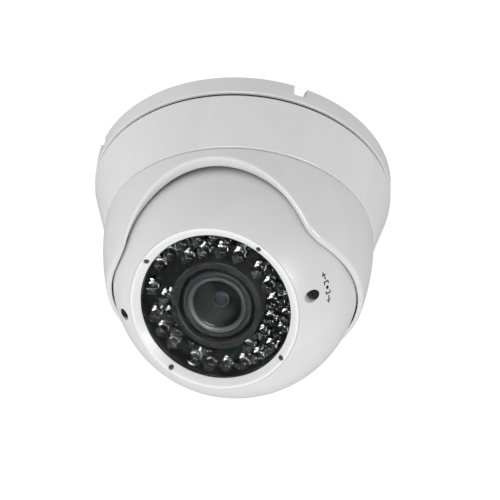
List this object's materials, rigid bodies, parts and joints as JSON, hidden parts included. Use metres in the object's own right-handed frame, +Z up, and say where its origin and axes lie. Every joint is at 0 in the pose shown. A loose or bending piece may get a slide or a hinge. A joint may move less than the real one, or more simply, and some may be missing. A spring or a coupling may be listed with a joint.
{
  "type": "dome cctv camera",
  "caption": "Ceiling dome security camera: a mounting base and tapered housing carry a turning shroud and a tilting ball with a flat window, lamps and a zoom lens.",
  "frame": {"origin": "centre of the ceiling face of the mounting base", "axes": "+Z points up into the ceiling along the pan axis; the camera looks towards -Y and down at rest, with the tilt axis along X"},
  "size_m": [0.12, 0.12, 0.0946],
  "materials": {
    "white_shell": "satin white moulded shell",
    "white_bezel": "smooth satin white moulding",
    "black_rubber": "matt black rubber",
    "black_plastic": "matt black moulded plastic",
    "grey_plastic": "dark grey moulded plastic, fine grain",
    "acetal": "natural off-white acetal",
    "steel": "bright zinc-plated steel",
    "black_steel": "black oxide steel",
    "spring_steel": "spring steel",
    "anodised": "black anodised aluminium",
    "frame_alloy": "plain aluminium plate",
    "brass": "nickelled brass standoffs",
    "window": "clear flat window",
    "optical_glass": "coated lens glass, green-teal reflection",
    "filter_glass": "infrared cut filter, faint red",
    "led_epoxy": "clear epoxy lamp body",
    "sensor_epoxy": "teal-green photocell face",
    "board_black": "black solder mask",
    "board_green": "green solder mask",
    "chip": "black chip moulding",
    "sensor_die": "image sensor under a clear lid",
    "connector": "ivory connector body"
  },
  "bodies": {
    "base": {"mounting_base": "white_shell", "ceiling_gasket": "black_rubber", "cable_gland": "black_plastic", "gland_nut": "black_plastic", "housing": "white_shell", "housing_seal": "black_rubber", "lock_screw": "steel", "pan_glide_ring": "acetal", "pan_circlip": "spring_steel"},
    "turret": {"pan_shroud": "white_shell", "tilt_pins": "steel", "tilt_washers": "acetal"},
    "ball": {"tilt_bushes": "acetal", "rear_grommet": "black_rubber", "ball_front_shell": "white_shell", "ball_rear_shell": "white_shell", "ball_seal": "black_rubber", "shell_screws": "steel", "window_bezel": "white_bezel", "bezel_screws": "black_steel", "window_glass": "window", "window_gasket": "black_rubber", "spindle_bushes": "black_plastic", "led_board": "board_black", "led_board_screws": "steel", "outer_ir_leds": "led_epoxy", "inner_ir_leds": "led_epoxy", "light_sensor": "sensor_epoxy", "lens_hood": "black_rubber", "lens_barrel": "anodised", "rear_element": "optical_glass", "module_frame": "frame_alloy", "frame_screws": "steel", "lens_mount": "black_plastic", "ir_cut_filter": "filter_glass", "image_sensor": "sensor_die", "sensor_board": "board_green", "sensor_spacers": "brass", "main_board": "board_green", "board_spacers": "brass", "board_screws": "steel", "board_chips": "chip", "board_connectors": "connector"},
    "focus_drive": {"focus_ring": "grey_plastic"},
    "focus_adjuster": {"focus_spindle": "black_plastic"},
    "front_group": {"front_cell": "anodised", "front_cell_ring": "anodised", "front_element": "optical_glass"},
    "zoom_drive": {"zoom_ring": "grey_plastic"},
    "zoom_adjuster": {"zoom_spindle": "black_plastic"},
    "zoom_group": {"zoom_cell": "anodised", "zoom_element": "optical_glass"}
  },
  "joints": [
    {"name": "pan", "type": "hinge", "parent": "base", "child": "turret", "pos_m": [0, 0, -0.0195], "axis": [0, 0, 1], "range_deg": [-177.5, 177.5]},
    {"name": "tilt", "type": "hinge", "parent": "turret", "child": "ball", "pos_m": [0, 0, -0.0475], "axis": [-1, 0, 0], "range_deg": [-26, 34]},
    {"name": "focus_ring_turn", "type": "hinge", "parent": "ball", "child": "focus_drive", "pos_m": [0, -0.0067, -0.05864], "axis": [0, -0.515, -0.8572], "range_deg": [-60, 60]},
    {"name": "focus_adjuster_turn", "type": "hinge", "parent": "ball", "child": "focus_adjuster", "pos_m": [0.03628, -0.00388, -0.05975], "axis": [0, -0.515, -0.8572], "range_deg": [-360.5, 360.5]},
    {"name": "front_group_travel", "type": "slide", "parent": "ball", "child": "front_group", "axis": [0, -0.515, -0.8572], "range_m": [-0.00061, 0.00061]},
    {"name": "zoom_ring_turn", "type": "hinge", "parent": "ball", "child": "zoom_drive", "pos_m": [0, -0.00258, -0.05179], "axis": [0, -0.515, -0.8572], "range_deg": [-45, 45]},
    {"name": "zoom_adjuster_turn", "type": "hinge", "parent": "ball", "child": "zoom_adjuster", "pos_m": [-0.03628, -0.00513, -0.05025], "axis": [0, -0.515, -0.8572], "range_deg": [-270.5, 270.5]},
    {"name": "zoom_group_travel", "type": "slide", "parent": "ball", "child": "zoom_group", "axis": [0, -0.515, -0.8572], "range_m": [-0.00252, 0.00252]}
  ],
  "couplings": [
    {"joint": "focus_adjuster_turn", "follows": "focus_ring_turn", "ratio": -6},
    {"joint": "front_group_travel", "follows": "focus_ring_turn", "m_per_rad": 0.00057296},
    {"joint": "zoom_adjuster_turn", "follows": "zoom_ring_turn", "ratio": -6},
    {"joint": "zoom_group_travel", "follows": "zoom_ring_turn", "m_per_rad": 0.0031831}
  ]
}
